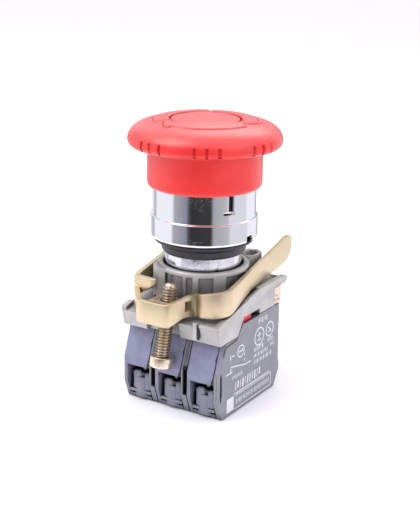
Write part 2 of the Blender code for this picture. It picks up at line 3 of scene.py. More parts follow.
import bmesh
import bpy
import numpy as np
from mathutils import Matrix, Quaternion, Vector


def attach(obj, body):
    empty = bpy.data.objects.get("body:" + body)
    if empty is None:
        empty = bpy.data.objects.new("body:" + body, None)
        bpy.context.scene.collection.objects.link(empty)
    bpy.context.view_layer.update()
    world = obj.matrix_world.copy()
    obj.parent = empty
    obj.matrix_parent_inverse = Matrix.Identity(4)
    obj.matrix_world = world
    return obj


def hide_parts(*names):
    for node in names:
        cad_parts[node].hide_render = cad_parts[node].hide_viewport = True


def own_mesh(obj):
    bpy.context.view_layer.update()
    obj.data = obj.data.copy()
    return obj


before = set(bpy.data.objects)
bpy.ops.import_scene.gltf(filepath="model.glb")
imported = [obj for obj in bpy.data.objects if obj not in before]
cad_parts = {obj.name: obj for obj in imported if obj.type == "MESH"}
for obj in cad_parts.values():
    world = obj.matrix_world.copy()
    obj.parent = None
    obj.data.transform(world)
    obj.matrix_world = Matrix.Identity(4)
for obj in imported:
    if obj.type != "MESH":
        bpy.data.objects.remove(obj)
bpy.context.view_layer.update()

MM = 0.001


# ------------------------------------------------------------------ mushroom cap
# The red cap is one moulding in ABS: a domed top 40 mm across over a straight skirt that covers the chrome
# barrel. Three turning arrows stand in relief round its middle, and eight groups of three finger grooves are
# cut in its rim. It is screwed to the stem from above.

def softened(corners, reach, steps=5, closed=True):
    """A line whose corners are replaced by the curve (1-t)^2 A + 2t(1-t) C + t^2 B, where C is the corner and
    A and B lie on its two sides, a reach away from it but never past the middle of a side."""
    corners = np.asarray(corners, float)
    back = np.roll(corners, 1, 0) - corners
    ahead = np.roll(corners, -1, 0) - corners
    reach = np.broadcast_to(np.asarray(reach, float), (len(corners),))[:, None]
    length_back = np.linalg.norm(back, axis=1, keepdims=True)
    length_ahead = np.linalg.norm(ahead, axis=1, keepdims=True)
    start = corners + back / length_back * np.minimum(reach, length_back * 0.48)
    end = corners + ahead / length_ahead * np.minimum(reach, length_ahead * 0.48)
    t = np.linspace(0, 1, steps)[None, :, None]
    curve = (1 - t) ** 2 * start[:, None] + 2 * t * (1 - t) * corners[:, None] + t ** 2 * end[:, None]
    if closed:
        return curve.reshape(-1, corners.shape[1])
    return np.vstack([corners[:1], curve[1:-1].reshape(-1, corners.shape[1]), corners[-1:]])


def evened(line, spacing):
    """Points a spacing apart along an open line, by its own length."""
    line = np.asarray(line, float)
    run = np.concatenate([[0], np.cumsum(np.linalg.norm(np.diff(line[:, :3], axis=0), axis=1))])
    stops = np.linspace(0, run[-1], max(2, int(run[-1] / spacing) + 1))
    return np.stack([np.interp(stops, run, line[:, k]) for k in range(line.shape[1])], 1)


def turned(outline, angles, bend=None):
    """A grid of points: the outline (radius, height) carried round the Z axis through the angles. Where bend
    is given, it returns the radius and the height again from the angle, the radius and the height."""
    angle = np.asarray(angles, float)[:, None]
    radius = np.broadcast_to(outline[:, 0], (len(angles), len(outline)))
    height = np.broadcast_to(outline[:, 1], radius.shape)
    if bend:
        radius, height = bend(angle, radius, height)
    return np.stack([radius * np.cos(angle), radius * np.sin(angle), height + 0 * angle], -1)


def round_angles(count):
    """Angles evenly round a circle, in radians."""
    return np.arange(count) * 2 * pi / count


def skin(points, rows_closed=True, columns_closed=True):
    """A bmesh of four-sided faces on a grid of points in millimetres. Its rows and columns may each run on
    from last to first, and points that fall together, as at a pole, are merged."""
    rows, columns = points.shape[:2]
    index = np.arange(rows * columns).reshape(rows, columns)
    if rows_closed:
        index = np.vstack([index, index[:1]])
    if columns_closed:
        index = np.hstack([index, index[:, :1]])
    faces = np.stack([index[:-1, :-1], index[:-1, 1:], index[1:, 1:], index[1:, :-1]], -1).reshape(-1, 4)
    mesh = bpy.data.meshes.new("grid")
    mesh.from_pydata((points.reshape(-1, 3) * MM).tolist(), [], faces.tolist())
    shape = bmesh.new()
    shape.from_mesh(mesh)
    bpy.data.meshes.remove(mesh)
    bmesh.ops.remove_doubles(shape, verts=shape.verts, dist=0.0005 * MM)
    bmesh.ops.recalc_face_normals(shape, faces=shape.faces)
    return shape


def placed(name, data):
    """A new object in the scene."""
    thing = bpy.data.objects.new(name, data)
    bpy.context.scene.collection.objects.link(thing)
    return thing


def piece(name, shapes, finish, body, stands_for=(), crease=32):
    """One finished piece from one or more bmeshes, riding on its body. It is smooth but for edges sharper than
    the crease, in degrees."""
    whole = bmesh.new()
    for shape in shapes if isinstance(shapes, list) else [shapes]:
        mesh = bpy.data.meshes.new("part")
        shape.to_mesh(mesh)
        shape.free()
        whole.from_mesh(mesh)
        bpy.data.meshes.remove(mesh)
    mesh = bpy.data.meshes.new(name)
    whole.to_mesh(mesh)
    whole.free()
    mesh.shade_smooth()
    mesh.set_sharp_from_angle(angle=radians(crease))
    mesh.materials.append(finish)
    thing = placed(name, mesh)
    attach(thing, body)
    if stands_for:
        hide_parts(*stands_for)
    return thing


class Tone:
    """A value, a vector or a colour inside a shader. Arithmetic on it adds Math nodes."""

    def __init__(self, tree, socket=None):
        self.tree = tree
        self.socket = socket

    def node(self, kind, settings, feeds, output=0):
        """Any other node: its settings first, then the values or links of its sockets."""
        made = self.tree.nodes.new("ShaderNode" + kind)
        for name, value in settings.items():
            if name == "stops":
                for place, colour in value[1:-1]:
                    made.color_ramp.elements.new(place)
                for element, (place, colour) in zip(made.color_ramp.elements, value):
                    element.position = place
                    element.color = (*colour, 1.0)
            else:
                setattr(made, name, value)
        for name, value in feeds.items():
            if isinstance(value, Tone):
                self.tree.links.new(value.socket, made.inputs[name])
            else:
                made.inputs[name].default_value = value
        return Tone(self.tree, made.outputs[output])

    def math(self, operation, *others):
        """A Math node with this as its first value."""
        return self.node("Math", {"operation": operation}, dict(enumerate((self, *others))))

    def __add__(self, other):
        return self.math("ADD", other)

    def __sub__(self, other):
        return self.math("SUBTRACT", other)

    def __rsub__(self, other):
        return self * -1 + other

    def __mul__(self, other):
        return self.math("MULTIPLY", other)

    __radd__ = __add__
    __rmul__ = __mul__

    def rise(self, low, high):
        """0 below low, 1 above high, and a smooth rise between them."""
        feeds = {0: self, 1: low, 2: high, 3: 0.0, 4: 1.0}
        return self.node("MapRange", {"interpolation_type": "SMOOTHSTEP"}, feeds)

    def band(self, start, full, ebb, end):
        """0, a rise to 1 from start to full, and a fall back to 0 from ebb to end."""
        return self.rise(start, full) * (1 - self.rise(ebb, end))

    def blend(self, first, second):
        """The first colour where this is 0 and the second where it is 1."""
        first, second = [c if isinstance(c, Tone) else (*c, 1.0) for c in (first, second)]
        return self.node("Mix", {"data_type": "RGBA"}, {0: self, 6: first, 7: second}, 2)

    def noise(self, size, detail=3.0, spread=0.5):
        """Cloudy values from 0 to 1, with spots about a size in millimetres, at this place."""
        feeds = {"Vector": self, "Scale": 1 / (size * MM), "Detail": detail, "Roughness": spread}
        return self.node("TexNoise", {}, feeds)

    def bump(self, height):
        """A surface normal from a height in millimetres."""
        return self.node("Bump", {}, {"Strength": 1.0, "Distance": MM, "Height": height})

    def open_air(self, reach):
        """Ambient occlusion: 1 in the open, less in a crevice, by what lies within a reach in millimetres.
        Blended into a base colour, it paints shade into crevices.
        """
        return self.node("AmbientOcclusion", {"samples": 6}, {"Distance": reach * MM}, 1)

    def split(self, axis):
        """One coordinate of this place, in metres."""
        return self.node("SeparateXYZ", {}, {0: self}, "XYZ".index(axis))


def finish(name, fixed, varying):
    """A material: the fixed values go straight on its Principled shader's sockets. Varying is a function that
    takes the place on the object and gives what changes over the surface, by socket."""
    made = bpy.data.materials.new(name)
    made.use_nodes = True
    tree = made.node_tree
    shader = tree.nodes["Principled BSDF"]
    for socket, value in fixed.items():
        shader.inputs[socket].default_value = value
    place = Tone(tree).node("TexCoord", {}, {}, "Object")
    for socket, tone in varying(place).items():
        tree.links.new(tone.socket, shader.inputs[socket])
    return made


def red_plastic(place):
    """Glossy moulded ABS: a fine flow texture, a soft orange peel, and faint rubbed patches. The top is painted
    lighter, a painted highlight, and crevices are painted dark red, a painted shade.
    """
    flow = place.noise(7, 2)
    peel = place.noise(0.9, 2)
    rubbed = place.noise(2.4, 5, 0.7).rise(0.45, 0.75)
    base = flow.rise(0.3, 0.7).blend((0.70, 0.014, 0.012), (0.78, 0.020, 0.016))
    # Painted highlight: the cap is painted lighter above 71 mm, where the light from above falls.
    painted_lit_top = place.split("Z").rise(71 * MM, 74 * MM).blend(base, (0.80, 0.075, 0.075))
    # Painted shade: dark red in crevices, by ambient occlusion.
    return {"Base Color": place.open_air(0.8).rise(0.35, 0.95).blend((0.42, 0.006, 0.008), painted_lit_top),
            "Roughness": rubbed * 0.10 + 0.30,
            "Normal": place.bump(peel * 0.012 + place.noise(0.12, 1) * 0.002)}


RED_PLASTIC = finish("red_plastic", {"IOR": 1.5, "Specular IOR Level": 0.6, "Coat Weight": 0.3,
                                     "Coat Roughness": 0.32, "Subsurface Weight": 0.05,
                                     "Subsurface Radius": (0.002, 0.0004, 0.0003), "Subsurface Scale": 0.5},
                     red_plastic)
CAP_TOP = [(9.3, 73.4), (9.3, 75.05), (9.5, 75.3), (10.2, 75.34), (11.6, 75.2), (13.0, 75.0), (14.3, 74.77),
           (15.4, 74.5), (16.4, 74.2), (17.3, 73.85), (18.0, 73.47), (18.6, 73.0), (19.1, 72.5), (19.5, 71.95),
           (19.8, 71.3), (19.97, 70.6), (19.98, 70.1), (19.9, 69.6), (19.7, 69.12), (19.35, 68.75),
           (18.9, 68.5)]
CAP_UNDER = [(18.3, 68.42), (16.4, 68.4), (15.5, 68.3), (15.1, 67.95), (15.0, 67.3), (15.0, 59.2),
             (14.93, 58.7), (14.75, 58.3), (14.45, 58.1), (14.15, 58.12), (14.0, 58.4), (14.0, 69.6),
             (13.6, 70.6), (12.6, 71.7), (7.2, 71.9), (6.4, 71.2), (6.4, 66.0), (4.3, 66.0), (4.3, 70.5),
             (1.9, 70.5), (1.9, 71.6), (3.2, 71.6), (3.2, 73.4)]
GROOVE_GROUPS = 8
GROOVE_MIDDLE = radians(-56.4)     # one group of finger grooves faces this way
GROOVE_PITCH = radians(9)
ARROW_COUNT = 3
ARROW_START = radians(-99)         # clockwise end of the first arrow's shaft
ARROW_SWEEP = radians(92)
ARROW_HEAD = radians(24)
ARROW_MIDDLE = 11.4


def step(value, low, high):
    """0 below low, 1 above high, smooth between: 3t^2 - 2t^3."""
    t = np.clip((value - low) / (high - low), 0, 1)
    return t * t * (3 - 2 * t)


def cap_relief(angle, radius, height):
    """The grooves take up to 0.5 mm off the rim where the angle is near a groove's middle, and the arrows add
    0.25 mm of height up to their outer radius, with a fine ditch outside it. An arrow's head tapers to its
    point."""
    group = (angle - GROOVE_MIDDLE + pi / GROOVE_GROUPS) % (2 * pi / GROOVE_GROUPS) - pi / GROOVE_GROUPS
    near = np.abs(group - np.clip(np.round(group / GROOVE_PITCH), -1, 1) * GROOVE_PITCH) * 20
    tall = (1 - step(height, 71.2, 71.6)) * step(radius, 18.8, 19.2) * step(height, 68.8, 69.1)
    groove = (1 - step(near, 0.20, 0.42)) * tall
    along = (angle - ARROW_START + ARROW_HEAD) % (2 * pi / ARROW_COUNT)
    head = np.clip(along / ARROW_HEAD, 0, 1)
    in_head = 1 - step(along, ARROW_HEAD, ARROW_HEAD + 0.012)
    shaft = step(along, ARROW_HEAD - 0.01, ARROW_HEAD) * (1 - step(along, ARROW_HEAD + ARROW_SWEEP - 0.03,
                                                                  ARROW_HEAD + ARROW_SWEEP))
    arrow = np.maximum(shaft, in_head)
    outer = ARROW_MIDDLE + in_head * head * 3.1 + (1 - in_head) * 1.8
    inner = 9.0 + in_head * (ARROW_MIDDLE - 9.0 - head * 1.9)
    band = step(radius, inner - 0.08, inner + 0.08) * (1 - step(radius, outer - 0.08, outer + 0.08)) * arrow
    ditch = np.exp(-((radius - outer - 0.25) / 0.16) ** 2) * arrow
    return radius - 0.5 * groove, height + (0.25 * band - 0.3 * ditch) * (height > 72)


cap_line = np.vstack([evened(softened(CAP_TOP, 0.4, 4, False), 0.16), softened(CAP_UNDER, 0.2, 3, False)])
piece("cap", skin(turned(cap_line, round_angles(500), cap_relief)), RED_PLASTIC, "turning_head",
      ["mushroom_cap"])


# ------------------------------------------------------------------ cap disc
# A separate thin red disc presses into the middle of the cap and hides the screw. A narrow groove is left
# round it, and its edge is rounded.

DISC_LINE = [(0, 73.75), (9.0, 73.75), (9.06, 74.9), (8.8, 75.3), (7.5, 75.46), (4.0, 75.56), (0, 75.6)]
piece("disc", skin(turned(softened(DISC_LINE, 0.35, 6, False), round_angles(240)), True, False), RED_PLASTIC,
      "turning_head", ["cap_disc"])


# ------------------------------------------------------------------ chrome bezel
# The bezel is a zinc casting, turned and chrome plated: a barrel under the skirt, a thicker ring that clamps
# the gasket, and a neck that goes through the panel into the collar. The barrel has a key slot, and the ring
# has a small notch at its foot. The plating shows fine pits where it is dark.

SLOT_ANGLE = radians(-30)


def chrome_plate(place):
    """Bright plating with a haze of pits 0.2 mm across, more of them in some patches. One half of the key slot
    and the foot of the notch are painted near black, a painted shade in these recesses."""
    patch = place.noise(5, 2).rise(0.42, 0.62)
    pits = place.noise(0.22, 2, 0.6).rise(0.60, 0.70) * patch
    east, north, height = place.split("X"), place.split("Y"), place.split("Z")
    across = north.math("ARCTAN2", east)
    inside = 1 - (east * east + north * north).rise((13.1 * MM) ** 2, (13.4 * MM) ** 2)
    opening = across.band(SLOT_ANGLE + 0.01, SLOT_ANGLE + 0.03, SLOT_ANGLE + 0.1, SLOT_ANGLE + 0.12)
    opening = opening * height.rise(53.4 * MM, 53.8 * MM)
    notch = (1 - across.math("ABSOLUTE").rise(0.1, 0.12)) * height.rise(44.75 * MM, 44.8 * MM)
    # Painted shade: near black in one half of the key slot and at the notch's foot.
    painted_slot_shade = inside * (opening + notch * (1 - height.rise(46.6 * MM, 46.7 * MM)))
    plated = pits.blend((0.86, 0.86, 0.90), (0.62, 0.60, 0.64))
    return {"Base Color": painted_slot_shade.blend(plated, (0.02, 0.018, 0.025)),
            "Roughness": pits * 0.45 + place.noise(3, 3).rise(0.3, 0.8) * 0.05 + 0.05,
            "Normal": place.bump(pits * -0.006 + place.noise(2.2, 2) * 0.004)}


CHROME = finish("chrome_plate", {"Metallic": 1.0}, chrome_plate)
NECK_GROOVE_ANGLE = radians(-38)
BARREL_RADIUS = 13.55
RING_RADIUS = 14.05
BEZEL_LINE = [(13.4, 63.0), (BARREL_RADIUS, 62.8), (BARREL_RADIUS, 51.0), (13.58, 50.62), (14.0, 50.42),
              (RING_RADIUS, 50.2), (RING_RADIUS, 45.3), (13.9, 44.85), (13.6, 44.7), (10.35, 44.7),
              (10.2, 44.5), (10.2, 33.0), (10.2, 29.7), (10.0, 29.3), (8.7, 29.3), (8.7, 47.0),
              (12.2, 47.0), (12.2, 63.0)]


def bezel_cuts(angle, radius, height):
    """The key slot takes 0.8 mm off the barrel above a chamfered foot, the notch takes 1.2 mm off the ring, and
    a shallow groove runs up the neck."""
    def across(middle):
        return np.abs((angle - middle + pi) % (2 * pi) - pi)
    slot = (1 - step(across(SLOT_ANGLE) * 13.5, 1.42, 1.56)) * step(height, 52.8, 53.5) * (radius > 13.3)
    notch = (1 - step(across(0) * 14, 1.4, 1.5)) * (1 - step(height, 46.3, 46.45)) * (radius > 13.3)
    groove = (1 - step(across(NECK_GROOVE_ANGLE) * 10.2, 0.22, 0.38)) * (height < 44.6) * (radius > 10.1)
    return radius - 0.8 * slot * (radius < 13.9) - 1.2 * notch - 0.25 * groove * (radius < 10.3), height


def packed(line, radius, start, end, count):
    """The line with an even row of points put in its upright run at a radius, after the run's first point."""
    row = np.column_stack([np.full(count, radius), np.linspace(start, end, count)])
    after = int(np.argmax(np.abs(line[:, 0] - radius) < 1e-6)) + 1
    return np.vstack([line[:after], row, line[after:]])


fine = [a + np.linspace(-0.13, 0.13, 45) for a in (SLOT_ANGLE, 0.0, NECK_GROOVE_ANGLE)]
bezel_angles = np.unique(np.concatenate([round_angles(240) - pi, *fine]))
bezel_line = packed(softened(BEZEL_LINE, 0.12, 4), BARREL_RADIUS, 62.6, 51.2, 60)
bezel_line = packed(bezel_line, RING_RADIUS, 50.0, 45.45, 40)
piece("bezel", skin(turned(bezel_line, bezel_angles, bezel_cuts)), CHROME, "frame", ["head_bezel"])


# ------------------------------------------------------------------ panel gasket
# A black nitrile ring seals the bezel against the panel. Its foot is a spigot that centres the head in the
# panel's hole. It is moulded with a soft sheen, and it is stretched over the neck.

def black_rubber(place):
    """Moulded rubber: a fine grain and a little grey bloom."""
    bloom = place.noise(2.5, 4, 0.6).rise(0.4, 0.8)
    return {"Base Color": bloom.blend((0.016, 0.015, 0.022), (0.045, 0.043, 0.062)),
            "Roughness": bloom * 0.15 + 0.38,
            "Normal": place.bump(place.noise(0.15, 2) * 0.010)}


RUBBER = finish("black_rubber", {"Specular IOR Level": 0.55}, black_rubber)
GASKET_LINE = [(10.5, 44.4), (13.1, 44.4), (13.25, 44.2), (13.1, 43.62), (12.6, 43.6), (12.1, 43.0),
               (11.25, 42.6), (11.15, 41.3), (10.85, 40.65), (10.55, 40.6)]
piece("gasket", skin(turned(softened(GASKET_LINE, 0.16, 5), round_angles(240))), RUBBER, "frame",
      ["panel_gasket"])


# ------------------------------------------------------------------ stem, latch and return spring
# Inside the head the stem carries the cap down to the pusher. A nylon sleeve and a spring clip hold it
# latched, and a steel coil spring under the flange of the stem pushes it up again. They are hidden until the
# head is taken apart.

def bare_steel(place):
    """Drawn steel with faint lines and a thin film of oil. It is painted near black in crevices, a painted
    shade.
    """
    film = place.noise(1.8, 4).rise(0.35, 0.7)
    clean = film.blend((0.50, 0.49, 0.47), (0.64, 0.63, 0.62))
    # Painted shade: near black in crevices, by ambient occlusion over 5 mm.
    return {"Base Color": place.open_air(5.0).rise(0.25, 0.8).blend((0.02, 0.02, 0.025), clean),
            "Roughness": film * 0.14 + 0.24,
            "Normal": place.bump(place.noise(0.18, 2) * 0.006)}


def white_nylon(place):
    """Natural nylon, a warm white with a soft satin."""
    cloud = place.noise(2.2, 3)
    return {"Base Color": cloud.blend((0.72, 0.70, 0.63), (0.82, 0.80, 0.74)),
            "Roughness": cloud * 0.12 + 0.36,
            "Normal": place.bump(place.noise(0.3, 2) * 0.006)}


def rounded_normal(place, radius, height):
    """A normal that rounds the edges by a radius in millimetres, with a small surface height on top."""
    edge = place.node("Bevel", {"samples": 4}, {"Radius": radius * MM})
    return place.node("Bump", {}, {"Strength": 1.0, "Distance": MM, "Height": height, "Normal": edge})


STEEL = finish("bare_steel", {"Metallic": 1.0}, bare_steel)
NYLON = finish("white_nylon", {"Subsurface Weight": 0.1, "Subsurface Scale": 0.3}, white_nylon)


def dressed(made, *nodes):
    """These CAD nodes keep their shape and get this finish."""
    for node in nodes:
        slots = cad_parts[node].data.materials
        slots.clear()
        slots.append(made)


dressed(STEEL, "actuator_stem", "latch_clip", "retaining_ring", "cap_screw")
dressed(NYLON, "latch_sleeve", "pusher")
dressed(RUBBER, "stem_seal")


def wire(path, radius, sides=10):
    """A round wire along a path: each point of the path carries a circle square to the path's own direction,
    and the two end circles shrink to the path's ends."""
    path = np.asarray(path, float)
    ahead = np.gradient(path, axis=0)
    ahead /= np.linalg.norm(ahead, axis=1, keepdims=True)
    side = np.cross(ahead, [0, 0, 1])
    side /= np.linalg.norm(side, axis=1, keepdims=True)
    over = np.cross(side, ahead)
    turn = round_angles(sides)[None, :, None]
    rings = path[:, None] + radius * (np.cos(turn) * side[:, None] + np.sin(turn) * over[:, None])
    ends = np.repeat(path[[0, -1]][:, None], sides, 1)
    return skin(np.concatenate([ends[:1], rings, ends[1:]]), False, True)


def coil(middle, radius, low, high, turns, thickness):
    """A compression spring: the angle grows evenly, and the height too but for a flat turn at each end."""
    t = np.linspace(0, 1, int(turns * 32))
    angle = t * turns * 2 * pi
    share = 0.8 / turns
    height = low + (high - low) * np.clip((t - share) / (1 - 2 * share), 0, 1)
    path = np.stack([middle[0] + radius * np.cos(angle), middle[1] + radius * np.sin(angle), height], 1)
    return wire(path, thickness)


spring = piece("head_spring", coil((0, 0), 7.4, 54.75, 61.55, 5.2, 0.4), STEEL, "frame", ["return_spring"])
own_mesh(spring)


# ------------------------------------------------------------------ fixing collar
# The collar is a zinc die casting with a dull tumbled skin: a deck that snaps over the three blocks, two side
# rims, and a turret round the bezel's neck. The turret's wall has cast pockets between ribs, and two lugs
# stand beside it.

def cast_zinc(place):
    """Tumbled zinc: a dull grey skin with a fine grain. Painted shade darkens it in crevices and in the
    turret's pockets, and a painted shadow of the lever darkens the turret's wall."""
    cloud = place.noise(4, 4, 0.6).rise(0.3, 0.75)
    grain = place.noise(0.16, 3, 0.65)
    skin_tone = cloud.blend((0.44, 0.435, 0.425), (0.54, 0.53, 0.52))
    east, north, height = place.split("X"), place.split("Y"), place.split("Z")
    reach = east * east + north * north
    pocket = reach.band((11.5 * MM) ** 2, (11.6 * MM) ** 2, (11.9 * MM) ** 2, (12.1 * MM) ** 2)
    pocket = pocket * height.band(29.3 * MM, 29.5 * MM, 35.8 * MM, 36.1 * MM)
    wall = reach.band((11.5 * MM) ** 2, (11.6 * MM) ** 2, (12.25 * MM) ** 2, (12.4 * MM) ** 2)
    wall = wall * height.band(29.3 * MM, 29.5 * MM, 34 * MM, 37 * MM)
    # Painted shade and painted shadow: ambient occlusion darkens the crevices, and the pocket and wall masks
    # darken the turret.
    light = place.open_air(3.0).rise(0.15, 0.85) * (1 - pocket * 0.35) * (1 - wall * 0.45)
    return {"Base Color": light.blend((0.045, 0.042, 0.055), skin_tone),
            "Roughness": grain * 0.18 + 0.38,
            "Normal": rounded_normal(place, 0.22, grain * 0.018 + cloud * 0.01)}


ZINC = finish("cast_zinc", {"Metallic": 0.4, "Specular IOR Level": 0.5}, cast_zinc)


def solid_copy(node):
    """A CAD node's loose triangles as one merged bmesh, with its flat faces joined."""
    shape = bmesh.new()
    shape.from_mesh(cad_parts[node].data)
    bmesh.ops.remove_doubles(shape, verts=shape.verts, dist=0.001 * MM)
    bmesh.ops.dissolve_limit(shape, angle_limit=radians(0.6), verts=shape.verts, edges=shape.edges)
    return shape


def cut_by(shape, tool):
    """One bmesh less another, by the exact Boolean."""
    things = []
    for source in (shape, tool):
        mesh = bpy.data.meshes.new("work")
        source.to_mesh(mesh)
        source.free()
        things.append(placed("work", mesh))
    cut = things[0].modifiers.new("cut", "BOOLEAN")
    cut.operation = "DIFFERENCE"
    cut.solver = "EXACT"
    cut.object = things[1]
    graph = bpy.context.evaluated_depsgraph_get()
    left = bmesh.new()
    left.from_mesh(things[0].evaluated_get(graph).to_mesh())
    for thing in things:
        bpy.data.meshes.remove(thing.data)
    return left


TURRET_CUT = [(0, 29.25), (12.15, 29.25), (12.15, 38), (0, 38)]
TURRET_RADIUS = 12.2
TURRET_LINE = [(10.6, 27.1), (11.5, 27.1), (11.5, 29.0), (12.0, 29.1), (TURRET_RADIUS, 29.3),
               (TURRET_RADIUS, 36.95), (11.85, 37.4), (10.85, 37.4), (10.6, 37.2)]
POCKETS = [(-21.5, -12.6), (-5.8, 13.2), (29.5, 46), (-44, -25)]         # from and to, in degrees
POCKETS_FROM = -58.1               # the angle that the pockets are counted from, in degrees


def turret_pockets(angle, radius, height):
    """The wall goes in 0.55 mm inside each pocket, from its foot to a lip under the rim."""
    turn = np.degrees(angle) - POCKETS_FROM
    depth = 0 * radius
    for low, high in POCKETS:
        for quarter in (0, 90, 180, 270):
            across = (turn - (low + high) / 2 - quarter + 180) % 360 - 180
            depth = np.maximum(depth, 1 - step(np.abs(across), (high - low) / 2 - 0.9, (high - low) / 2))
    wall = (radius > 11.95) * (1 - step(height, 35.9, 36.2))
    return radius - 0.55 * depth * wall, height


turret_line = packed(softened(TURRET_LINE, 0.15, 4), TURRET_RADIUS, 29.6, 36.7, 34)
room = skin(turned(np.array(TURRET_CUT, float), round_angles(160)), True, False)
deck = cut_by(solid_copy("collar_body"), room)
piece("collar_deck", deck, ZINC, "frame", ["collar_body"], crease=28)
piece("collar_turret", skin(turned(turret_line, round_angles(480), turret_pockets)), ZINC, "frame",
      ["collar_body"])


# ------------------------------------------------------------------ locking lever
# The lever is bent from 1.4 mm steel strip and zinc plated with a yellow chromate: a left wall, a front wall
# that bulges over the clamp screw, a short diagonal wall with a window, and a long arm that rises to the
# right. A short tongue folds in at its left end. It turns in the collar's ring groove.

def yellow_chromate(place):
    """Yellow passivated zinc: sandy gold that drifts to greenish yellow and to pink, with a fine satin grain.
    It is darker round the crease of the front wall, and painted near black in crevices, a painted shade."""
    drift = place.noise(9, 2).rise(0.35, 0.65)
    tint = place.noise(3.5, 3).rise(0.56, 0.72)
    pink = place.noise(5.5, 2).rise(0.58, 0.70)
    sandy = drift.blend((0.76, 0.60, 0.42), (0.70, 0.59, 0.37))
    green = (tint * 0.55).blend(sandy, (0.64, 0.66, 0.28))
    worn = (pink * 0.45).blend(green, (0.92, 0.66, 0.52))
    # Darker round the inner crease of the front wall.
    east, north = place.split("X") - 6.5 * MM, place.split("Y") + 13.7 * MM
    crease = 1 - (east * east + north * north).rise((0.3 * MM) ** 2, (2.4 * MM) ** 2)
    darkened_crease = (crease * 0.75).blend(worn, (0.22, 0.19, 0.09))
    # Painted shade: near black in crevices, by ambient occlusion.
    return {"Base Color": place.open_air(2.0).rise(0.05, 0.55).blend((0.10, 0.06, 0.025), darkened_crease),
            "Roughness": place.noise(1.2, 4).rise(0.3, 0.8) * 0.10 + 0.28,
            "Normal": rounded_normal(place, 0.2, place.noise(0.3, 2, 0.5) * 0.002)}


CHROMATE = finish("yellow_chromate", {"Metallic": 0.75}, yellow_chromate)
SHEET = 1.4
# STRAP and TONGUE are stations of the outer face: x, y, low z and high z.
STRAP = [(-14, 6, 31.4, 38), (-14, -10.8, 28.5, 34.5), (-13.6, -12.4, 28.2, 34.2), (-12.9, -13.4, 27.4, 31.6),
         (-8.6, -18.7, 27, 31), (-8, -19.4, 25.2, 31), (-7.2, -20.4, 25, 31), (-6, -21, 25, 31),
         (1.7, -21, 25, 31.1), (2.7, -20.6, 25.1, 31.2), (3.3, -19.8, 25.4, 31.4), (4.8, -16.7, 27, 32.2),
         (6.4, -13.5, 27, 33), (7.4, -14.1, 27, 33.2), (9.6, -14.5, 27.1, 33.7), (12, -13.9, 27.3, 34.1),
         (14.2, -12.4, 27.6, 34.4), (15.2, -10.3, 28, 34.7), (13.5, 3.2, 31.2, 36.2), (11.25, 21, 31.5, 38.1),
         (10.45, 27.3, 31.8, 39), (10.2, 29.4, 33, 38.9), (10.1, 30.2, 34.2, 38.3),
         (10.05, 30.5, 35.5, 37.3)]
# The ear, a flat plate that carries the nut, as (x, y).
EAR = [(-5.0, -20.2), (2.4, -20.2), (3.2, -17.0), (3.4, -13.0), (2.6, -10.9), (0, -11.2), (-2.8, -10.9),
       (-4.6, -13.0), (-6.4, -17.0), (-6.0, -19.6)]
TONGUE = [(-13.2, -12.9, 29.8, 34.3), (-10, -13.9, 30.3, 34.6), (-6.6, -14.9, 32.6, 34.9),
          (-5.4, -14.6, 33.6, 34.8)]


def strip(stations, thickness, bend, edge=0.28):
    """Bent strip: a rounded rectangle is carried along the outer face's line (x, y), from each station's low z
    to its high z, with its thickness on the inner side, and the two ends shrink to their middles."""
    line = evened(softened(stations, bend, 9, False), 0.22)
    ahead = np.gradient(line[:, :2], axis=0)
    ahead /= np.linalg.norm(ahead, axis=1, keepdims=True)
    inward = np.stack([-ahead[:, 1], ahead[:, 0]], 1)
    tall = 10.0
    section = softened([(0, 0), (0, tall), (thickness, tall), (thickness, 0)], edge, 5)
    upper = section[:, 1] > tall / 2
    height = np.where(upper, line[:, 3:4] - tall + section[:, 1], line[:, 2:3] + section[:, 1])
    flat = line[:, None, :2] + inward[:, None] * section[None, :, :1]
    rings = np.concatenate([flat, height[..., None]], -1)
    ends = np.repeat(rings[[0, -1]].mean(1, keepdims=True), len(section), 1)
    return skin(np.concatenate([ends[:1], rings, ends[1:]]), False, True)


def slab(low, high, edge):
    """A closed block between two corners. Its upright edges are eased, and its top and foot have a chamfer.
    Each level is the outline, scaled about its middle, at a height."""
    low, high = np.asarray(low, float), np.asarray(high, float)
    half = (high - low) / 2
    middle = (low[:2] + high[:2]) / 2
    flat = softened(half[:2] * [(-1, -1), (1, -1), (1, 1), (-1, 1)], edge, 5)
    drop = min(edge, half[2]) * 0.6
    levels = [(0.0, low[2]), (1 - drop / half[0], low[2]), (1.0, low[2] + drop), (1.0, high[2] - drop),
              (1 - drop / half[0], high[2]), (0.0, high[2])]
    return skin(np.stack([np.column_stack([middle + flat * share, np.full(len(flat), z)])
                          for share, z in levels]), False, True)


def plate(corners, low, high, edge, steps=4, upright=False):
    """A flat plate: its outline, with eased corners, from one height to another. Its faces close on its
    middle. Upright, the outline is (y, z) and the plate runs along X."""
    flat = softened(corners, edge, steps)
    middle = flat.mean(0)
    rings = np.stack([np.column_stack([middle + (flat - middle) * share, np.full(len(flat), z)])
                      for share, z in [(0.0, low), (1.0, low), (1.0, high), (0.0, high)]])
    return skin(np.roll(rings, 1, 2) if upright else rings, False, True)


window = slab((3.2, -16.3, 28.6), (8.2, -14.5, 31.4), 0.15)
strap = cut_by(strip(STRAP, SHEET, 1.1), window)
piece("lever_strap", [strap, strip(TONGUE, SHEET, 0.9), plate(EAR, 27.7, 28.9, 0.5)], CHROMATE, "lever",
      ["locking_lever"])


# ------------------------------------------------------------------ clamp nut and clamp screw
# A square copper plated nut lies in the front of the lever, and a brass plated M4 cheese-head screw runs up
# through it and presses on the collar's turret. It has a rolled thread and a slot for a screwdriver.

